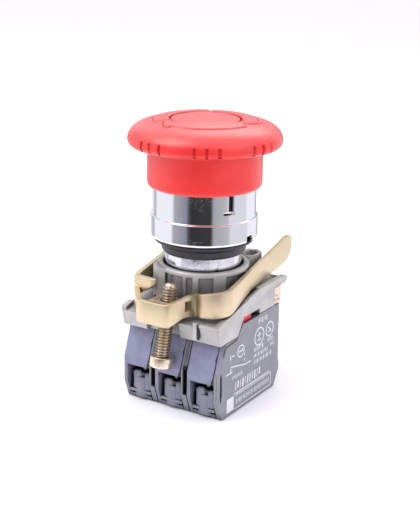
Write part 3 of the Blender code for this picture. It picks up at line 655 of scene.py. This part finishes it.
def copper_plating(place):
    """A thin pinkish copper flash over steel."""
    cloud = place.noise(1.5, 4).rise(0.35, 0.7)
    return {"Base Color": cloud.blend((0.86, 0.60, 0.48), (0.95, 0.74, 0.62)),
            "Roughness": cloud * 0.15 + 0.28,
            "Normal": rounded_normal(place, 0.15, place.noise(0.2, 2) * 0.010)}


def brass_plating(place):
    """Yellow brass in lighter and darker patches, painted dark brown in crevices such as the thread's grooves,
    a painted shade.
    """
    cloud = place.noise(1.1, 4, 0.6).rise(0.35, 0.7)
    straw = cloud.blend((0.78, 0.62, 0.42), (0.90, 0.84, 0.74))
    # Painted shade: dark brown in crevices, by ambient occlusion.
    return {"Base Color": place.open_air(0.8).rise(0.3, 0.7).blend((0.14, 0.06, 0.02), straw),
            "Roughness": cloud * -0.12 + 0.34,
            "Normal": place.bump(place.noise(0.25, 2) * 0.008)}


COPPER = finish("copper_plating", {"Metallic": 0.9}, copper_plating)
BRASS = finish("brass_plating", {"Metallic": 0.95}, brass_plating)
dressed(COPPER, "clamp_nut")
SCREW_TIP = np.array([0.2, -15.5, 35.2])
SCREW_FOOT = np.array([-0.6, -18.9, 13.4])
THREAD_PITCH = 0.78


def thread(length, outer, root, pitch, around=40):
    """A screw thread along Z: the radius falls from outer to root with the distance of (z/pitch - angle/turn)
    from a whole number, so the ridge climbs one pitch a turn. Both ends run down to the axis."""
    height = np.linspace(0, length, int(length / pitch * 14))
    angle = round_angles(around)[None, :]
    phase = (height[:, None] / pitch - angle / (2 * pi)) % 1
    ridge = 1 - step(np.abs(phase - 0.5) * 2, 0.0, 0.75)
    radius = root + (outer - root) * ridge
    radius = np.minimum(radius, root - 0.3 + (length - height[:, None]) * 0.9)
    grid = np.stack([radius * np.cos(angle), radius * np.sin(angle), height[:, None] + 0 * angle], -1)
    ends = np.zeros((2, around, 3))
    ends[1, :, 2] = length
    return np.concatenate([ends[:1], grid, ends[1:]])


def screw_head(radius, height, slot_wide, slot_deep, around=96):
    """A cheese head under z = 0: an outline carried round the axis, and where it faces down within half a
    slot's width of a diameter it goes up by the slot's depth."""
    line = softened([(0, 0), (radius, 0), (radius, -height), (0, -height)], 0.35, 5, False)
    line = np.vstack([line[:-1], np.column_stack([np.linspace(radius - 0.4, 0, 40), np.full(40, -height)])])

    def slot(angle, r, z):
        inside = 1 - step(np.abs(r * np.sin(angle)), slot_wide / 2 - 0.04, slot_wide / 2 + 0.04)
        inside = inside * (1 - step(r, radius - 0.75, radius - 0.6))
        return r, z + slot_deep * inside * (1 - step(z, -height + 0.6, -height + 0.8))
    return turned(line, round_angles(around), slot)


def leaned(points, foot, tip):
    """Points about the Z axis moved to stand on the foot and lean towards the tip."""
    axis = Vector(tip - foot).normalized()
    turn = np.array(Vector((0, 0, 1)).rotation_difference(axis).to_matrix())
    return points @ turn.T + foot


screw_length = float(np.linalg.norm(SCREW_TIP - SCREW_FOOT))
head_height = 2.8
shank = thread(screw_length - head_height, 2.0, 1.42, THREAD_PITCH)
head_at = SCREW_FOOT + (SCREW_TIP - SCREW_FOOT) / screw_length * head_height
piece("clamp_bolt", [skin(leaned(shank, head_at, SCREW_TIP), False, True),
                     skin(leaned(screw_head(3.0, head_height, 0.9, 1.0), head_at, SCREW_TIP), True, False)],
      BRASS, "clamp_screw_body", ["clamp_screw"], crease=50)


# ------------------------------------------------------------------ block catch
# A small catch of pink brass is riveted in the collar's right rim and holds the blocks. It keeps its CAD
# shape.

dressed(COPPER, "block_catch")


# ------------------------------------------------------------------ contact blocks
# Each block is a blue-grey glass-filled nylon housing with a cover on its right-hand side. The housing's front
# and rear have a bulged hood over a mouth for the wires. The cover is snapped on. Beside the hood a thin black
# sheet stands for the shade in its wavy seam, a painted shade; the slot left beside the next block is painted
# black, a painted shade, and the cover's front strip on the left and middle blocks is a darker copy of the
# plastic, also a painted shade.

def block_plastic(base, worn):
    """A moulded grey: a fine spark-eroded grain, cloudy with glass fibre. It is painted near black in the
    covers' slots and darker in crevices, a painted shade.
    """
    def varying(place):
        cloud = place.noise(3.2, 4, 0.6).rise(0.3, 0.75)
        grain = place.noise(0.14, 2, 0.6)
        # Painted shade: the slot mask paints the covers' slots near black.
        across = place.split("X").math("WRAP", 5 * MM, -5 * MM)
        slot = across.rise(3.7 * MM, 3.8 * MM) * (1 - place.split("X").rise(13 * MM, 13.1 * MM))
        slot = slot * (1 - place.split("Y").rise(-13.75 * MM, -13.6 * MM))
        slot = slot * place.split("Z").band(5.1 * MM, 5.3 * MM, 13.0 * MM, 13.6 * MM)
        # Painted shade: ambient occlusion darkens crevices, and the slots go near black.
        light = place.open_air(4.0).rise(0.12, 0.75) * (1 - slot)
        return {"Base Color": light.blend((0.006, 0.006, 0.012), cloud.blend(base, worn)),
                "Roughness": grain * 0.15 + 0.42,
                "Normal": rounded_normal(place, 0.2, grain * 0.014)}
    return varying


HOOD_PLASTIC = finish("hood_plastic", {"Specular IOR Level": 0.4},
                      block_plastic((0.20, 0.205, 0.315), (0.25, 0.255, 0.38)))
CASE_PLASTIC = finish("case_plastic", {"Specular IOR Level": 0.4},
                      block_plastic((0.19, 0.195, 0.25), (0.235, 0.24, 0.30)))
COVER_PLASTIC = finish("cover_plastic", {"Specular IOR Level": 0.4},
                       block_plastic((0.215, 0.222, 0.255), (0.245, 0.252, 0.282)))
# A darker copy of the block plastic, a painted shade, for the cover edges of the left and middle blocks.
SHADED_EDGE_PLASTIC = finish("shaded_edge_plastic", {"Specular IOR Level": 0.4},
                      block_plastic((0.105, 0.112, 0.150), (0.14, 0.147, 0.19)))
BLOCKS = {"left": -10.0, "middle": 0.0, "right": 10.0}
HOOD_FOOT, HOOD_TOP, HOOD_ROWS = 9.95, 20.6, 44
HOOD_FRONT = [(HOOD_FOOT, -14.75), (12.0, -14.75), (HOOD_TOP, -11.65)]      # the hood's root line: z and y
HOOD_SEAM = [(HOOD_FOOT, 2.3), (10.8, 2.45), (12.0, 2.9), (15.3, 3.0), (16.4, 2.7), (18.0, 3.05),
             (HOOD_TOP, 3.0)]                                               # the wavy seam: z and x


def shell(x, facing, left, right, out, swell, low=HOOD_FOOT):
    """A shell on a block's front or rear: at each height a loop runs along the root line from left to right,
    out by a distance round eased edges, over a crown that swells a little more, and back."""
    height = np.linspace(low, HOOD_TOP, HOOD_ROWS)
    root = np.interp(height, *np.transpose(HOOD_FRONT))
    left, right = [np.broadcast_to(end, height.shape)[:, None] for end in (left, right)]
    loop = softened([(0, -0.1), (0, 1), (0.5, 1 + swell), (1, 1), (1, -0.1)], 0.1, 7)
    across = left + loop[None, :, 0] * (right - left)
    away = root[:, None] - loop[None, :, 1] * out
    rings = np.stack([x + across, away * facing, height[:, None] + 0 * away], -1)
    ends = np.repeat(rings[[0, -1]].mean(1, keepdims=True), len(loop), 1)
    return skin(np.concatenate([ends[:1], rings, ends[1:]]), False, True)


seam_line = np.interp(np.linspace(HOOD_FOOT, HOOD_TOP, HOOD_ROWS), *np.transpose(HOOD_SEAM))
ENDS = (1, -1)                     # the rear end of a block, and its front
for side, x in BLOCKS.items():
    dressed(CASE_PLASTIC, "block_housing_" + side)
    dressed(COVER_PLASTIC, "block_cover_" + side)
    hoods = [shell(x, facing, -4.65, seam_line, 0.62, 0.3) for facing in ENDS]
    # Painted shade: thin black sheets in the gap beside each hood stand for the seam's shade.
    seam_shades = [shell(x, facing, seam_line - 0.3, 3.52, 0.5, 0) for facing in ENDS]
    edges = [shell(x, facing, 3.55, 4.8, 0.56, 0.1, 12.2) for facing in ENDS]
    ledges = [slab((x - 3.9, facing * 13.5 - 0.7, 1.8), (x + 3.0, facing * 13.5 + 0.7, 2.6), 0.2)
              for facing in reversed(ENDS)]
    guides = [slab((x + low, facing * 13.3 - 0.8, 2.4), (x + high, facing * 13.3 + 0.8, top), 1.0)
              for facing in reversed(ENDS) for low, high, top in [(-3.0, -0.1, 7.9), (0.6, 2.9, 7.6)]]
    piece("hoods_" + side, hoods, HOOD_PLASTIC, "frame")
    piece("hood_seams_" + side, seam_shades, RUBBER, "frame")
    # Painted shade on the left and middle cover edges, a darker copy of the plastic; the right one takes the
    # bluer hood plastic, a painted highlight.
    piece("cover_edges_" + side, edges, HOOD_PLASTIC if side == "right" else SHADED_EDGE_PLASTIC, "frame")
    piece("mouth_ledges_" + side, ledges, CASE_PLASTIC, "frame")
    piece("wire_guides_" + side, guides, CASE_PLASTIC, "frame")


# ------------------------------------------------------------------ printed marks
# The last cover is pad printed in white: a contact symbol, rings with a mark in them, and rows of small
# figures. Here the figures are plain bars. The ink lies 0.03 mm over the cover.

def white_ink(place):
    """Thin ink: it lets a little of the grey through."""
    return {"Base Color": place.noise(0.5, 3).rise(0.35, 0.7).blend((0.62, 0.62, 0.66), (0.80, 0.80, 0.83)),
            "Roughness": place.noise(0.4, 2) * 0.2 + 0.4}


INK = finish("white_ink", {}, white_ink)
FACE = 14.85                       # the outer face of the last cover, along X
INK_FOOT, INK_TOP = FACE - 0.05, FACE + 0.03


def stroke(start, end, width):
    """A straight printed line from one (y, z) to another."""
    start, end = np.array(start, float), np.array(end, float)
    ahead = (end - start) / np.linalg.norm(end - start)
    side = np.array([-ahead[1], ahead[0]]) * width / 2
    return plate([start - side, end - side, end + side, start + side], INK_FOOT, INK_TOP, 0.05, 2, True)


def ring(y, z, radius, width=0.32):
    """A printed ring: a thin rectangle carried round a point of the face."""
    turn = round_angles(64)[:, None]
    far = radius + np.array([-0.5, 0.5, 0.5, -0.5]) * width
    out = np.array([INK_FOOT, INK_FOOT, INK_TOP, INK_TOP])
    return skin(np.stack([out + 0 * turn, y + far * np.cos(turn), z + far * np.sin(turn)], -1))


def figures(first, last, z, tall, pitch, lean=0.0):
    """A row of upright bars whose widths and gaps vary with sin(2.7 n), between two places along Y."""
    count = int((last - first) / pitch)
    marks = []
    for number in range(count):
        y = first + (number + 0.5) * pitch
        width = pitch * (0.34 + 0.16 * sin(2.7 * number + z))
        low = z + tall * 0.22 * (number % 3 == 1)
        marks.append(stroke((y, low), (y + lean, z + tall), width))
    return marks


marks = [ring(-4.6, 16.4, 1.6), stroke((-5.6, 16.4), (-3.6, 16.4), 0.35),
         stroke((-4.1, 17.0), (-3.5, 16.4), 0.3), stroke((-9.8, 16.9), (-9.8, 15.5), 0.4),
         stroke((-9.0, 16.3), (-7.7, 16.3), 0.35),
         stroke((-12.0, 11.9), (-8.8, 11.9), 0.3), stroke((-9.6, 13.2), (-9.6, 12.0), 0.3),
         stroke((-9.6, 13.5), (-2.3, 11.9), 0.3), stroke((-2.6, 13.0), (-2.6, 13.8), 0.25),
         stroke((-2.6, 14.4), (-2.6, 15.2), 0.25), stroke((-2.3, 11.9), (0.6, 11.9), 0.3),
         ring(5.0, 17.4, 2.4, 0.36), stroke((4.0, 17.9), (6.0, 17.9), 0.35),
         stroke((5.0, 18.6), (5.0, 16.2), 0.35), stroke((4.0, 16.4), (6.0, 16.4), 0.3),
         ring(10.6, 17.8, 2.0, 0.34), stroke((9.8, 18.5), (11.4, 17.2), 0.35),
         stroke((9.8, 17.2), (11.2, 17.2), 0.3),
         *figures(4.2, 10.0, 21.0, 1.5, 0.85), *figures(2.4, 8.6, 13.6, 1.2, 0.8),
         *figures(9.6, 13.4, 14.2, 1.2, 0.8),
         *figures(2.0, 10.0, 11.8, 1.2, 0.8), *figures(11.0, 13.4, 12.4, 1.2, 0.8),
         *figures(2.4, 12.6, 10.0, 1.2, 0.8), *figures(-8.8, -3.2, 9.5, 1.1, 0.75),
         *figures(-7.6, 6.6, 5.9, 2.5, 1.25, 0.2),
         stroke((-7.5, 5.2), (11.2, 5.2), 0.3), stroke((-7.2, 0.9), (12.0, 0.9), 0.25),
         stroke((12.0, 0.9), (12.0, 4.6), 0.25), stroke((-7.2, 4.6), (12.0, 4.6), 0.2),
         stroke((-9.45, 0.95), (-9.45, 4.85), 3.4), *figures(-6.6, 11.6, 2.0, 1.4, 0.85)]
piece("printed_marks", marks, INK, "frame")


# ------------------------------------------------------------------ edges of the last cover and the collar
# The last cover's front edge is a bead with a narrow slit behind it. The seam under the collar is drawn as thin
# black strips on the cover, a painted shadow. The collar's front has a rib and a ledge over its right-hand
# panel, and a thin black slab beside the rib stands for the shade in a slit.

piece("cover_bead", slab((14.0, -15.32, 5.0), (14.84, -14.5, 13.2), 0.3), COVER_PLASTIC, "frame")
seam = [(-3.7, 24.2), (-4.2, 23.5), (-6.8, 20.2), (-12.2, 19.8), (-13.3, 17.4)]
# Painted shadow: thin black strips on the cover where the collar's seam is.
piece("seam_shadow", [stroke(start, end, 0.55) for start, end in zip(seam, seam[1:])], RUBBER, "frame")
rib_and_ledge = [slab((7.6, -16.95, 21.9), (8.8, -15.9, 26.4), 0.25),
                 slab((9.4, -16.8, 25.5), (14.9, -15.9, 26.3), 0.2)]
piece("collar_rib", rib_and_ledge, ZINC, "frame")
# Painted shade: a thin black slab stands for the shade in a slit of the collar's front.
piece("collar_slit_shade", slab((8.9, -16.42, 21.9), (9.35, -16.0, 26.0), 0.1), RUBBER, "frame")


# ------------------------------------------------------------------ plungers, bridges, strips and terminals
# A coloured plunger in each block carries the moving contact bridge on a small spring: green closes and red
# opens. Brass strips lead to the terminals, where a steel screw lifts a saddle against the strip.

def plunger_plastic(base, worn):
    """A smooth surface between two tones, painted dark in crevices, a painted shade."""
    def varying(place):
        cloud = place.noise(1.5, 3)
        # Painted shade: dark in crevices, by ambient occlusion.
        light = place.open_air(2.0).rise(0.1, 0.6)
        return {"Base Color": light.blend((0.05, 0.0, 0.005), cloud.blend(base, worn)),
                "Roughness": cloud * 0.1 + 0.32,
                "Normal": rounded_normal(place, 0.15, place.noise(0.2, 2) * 0.008)}
    return varying


RED_NYLON = finish("red_nylon", {}, plunger_plastic((0.62, 0.012, 0.03), (0.75, 0.03, 0.05)))
# A dark copy of the steel, a painted shade, for the clamp saddles that sit back in the mouths.
SHADED_STEEL = finish("shaded_steel", {"Metallic": 0.8},
                    plunger_plastic((0.05, 0.05, 0.06), (0.09, 0.09, 0.10)))
GREEN_NYLON = finish("green_nylon", {}, plunger_plastic((0.02, 0.28, 0.08), (0.04, 0.36, 0.11)))
for side, x in BLOCKS.items():
    dressed(GREEN_NYLON if side == "middle" else RED_NYLON, "contact_plunger_" + side)
    dressed(COPPER, "contact_bridge_" + side)
    for end in ("front", "rear"):
        dressed(BRASS, f"fixed_contact_{side}_{end}")
        dressed(STEEL, f"terminal_screw_{side}_{end}")
        # Painted shade: the saddles take the dark copy of the steel.
        dressed(SHADED_STEEL, f"clamp_saddle_{side}_{end}")
    spring = piece("bridge_spring_" + side, coil((x, -0.7), 1.5, 3.5, 10.5, 6, 0.2), STEEL, "frame",
                   ["contact_spring_" + side])
    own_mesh(spring)


# ------------------------------------------------------------------ studio
# A pale floor that runs out to a white surround, three broad soft lamps, and a glowing ring that only
# reflections see. It is no lamp: its shade at each angle paints the light and dark bands that the bright metal
# and the plastics reflect.

def pale_floor(place):
    """Matt paper with a faint cloud."""
    cloud = place.noise(60, 2)
    return {"Base Color": cloud.blend((0.93, 0.92, 0.96), (0.94, 0.93, 0.97))}


FLOOR_HEIGHT = -0.0002
floor_mesh = bpy.data.meshes.new("floor")
corners = [(x, y, FLOOR_HEIGHT) for x, y in [(-3, -3), (3, -3), (3, 3), (-3, 3)]]
floor_mesh.from_pydata(corners, [], [(0, 1, 2, 3)])
floor_mesh.materials.append(finish("pale_floor", {"Roughness": 0.9, "Specular IOR Level": 0.1}, pale_floor))
placed("floor", floor_mesh)

# What the bright metal sees round it: the shade at each angle, in degrees from the camera's side.
FACING = radians(-57.8)
SHADES = [(-180, 0.55), (-165, 0.55), (-160, 0.80), (-142, 0.80), (-138, 0.50), (-126, 0.50), (-122, 0.92),
          (-70, 0.92), (-64, 0.40), (-36, 0.26), (-32, 0.10), (-26, 0.035), (14, 0.045), (20, 0.40),
          (50, 0.50), (55, 0.72),
          (98, 0.72), (102, 0.92), (140, 0.92), (146, 0.45), (180, 0.55)]


def surround_shade(place):
    """A shade for each stretch of the angle about Z, by a colour ramp."""
    angle = place.split("Y").math("ARCTAN2", place.split("X"))
    turn = ((angle - FACING) * (0.5 / pi) + 0.5).math("FRACT")
    ramp = [((low + 180) / 360, (shade * 0.98, shade * 0.98, shade * (1.03 + 0.25 * (0.1 < shade < 0.4))))
            for low, shade in SHADES]
    return {"Emission Color": turn.node("ValToRGB", {"stops": ramp}, {0: turn})}


RING_RUN = 110.0                   # the glowing ring's radius
# Painted reflection: the ring glows by its own emission and is seen only in reflections.
glowing = {"Base Color": (0, 0, 0, 1), "Emission Strength": 1.1, "Specular IOR Level": 0.0}
angles = round_angles(180)[:, None]
tall = np.array([0.5, 130.0])
across, north = RING_RUN * np.cos(angles), RING_RUN * np.sin(angles)
fence = skin(np.stack(np.broadcast_arrays(across, north, tall), -1), True, False)
mesh = bpy.data.meshes.new("reflected_ring")
fence.to_mesh(mesh)
fence.free()
mesh.materials.append(finish("glowing_ring", glowing, surround_shade))
reflected = placed("reflected_ring", mesh)
reflected.visible_camera = False
reflected.visible_diffuse = False
reflected.visible_shadow = False


def lamp(name, spot, target, size, power):
    """A square area light that faces a point."""
    data = bpy.data.lights.new(name, "AREA")
    data.size = size
    data.energy = power
    thing = placed(name, data)
    thing.location = spot
    thing.rotation_mode = "QUATERNION"
    thing.rotation_quaternion = (Vector(target) - Vector(spot)).to_track_quat("-Z", "Y")


MIDDLE = (0, 0, 0.04)
lamp("key", (-0.25, -0.30, 0.55), MIDDLE, 0.45, 1.9)
lamp("fill", (0.50, -0.05, 0.30), MIDDLE, 0.40, 0.6)
lamp("back", (-0.1, 0.45, 0.40), MIDDLE, 0.40, 0.7)
surround = bpy.data.worlds.new("surround")
bpy.context.scene.world = surround
surround.use_nodes = True
surround.node_tree.nodes["Background"].inputs["Color"].default_value = (0.975, 0.965, 1.0, 1.0)
surround.node_tree.nodes["Background"].inputs["Strength"].default_value = 1.05
bpy.context.scene.view_settings.view_transform = "Standard"

lens = bpy.data.cameras.new("camera")
lens.lens = 80.0
lens.sensor_width = 36.0
lens.clip_start = 0.01
eye = placed("camera", lens)
eye.location = Vector((152.9, -242.8, 128.9)) * MM
look = Vector((2.03, 0.0, 38.82)) * MM - eye.location
eye.rotation_mode = "QUATERNION"
eye.rotation_quaternion = look.to_track_quat("-Z", "Y") @ Quaternion((0, 0, 1), radians(0.973))
bpy.context.scene.camera = eye
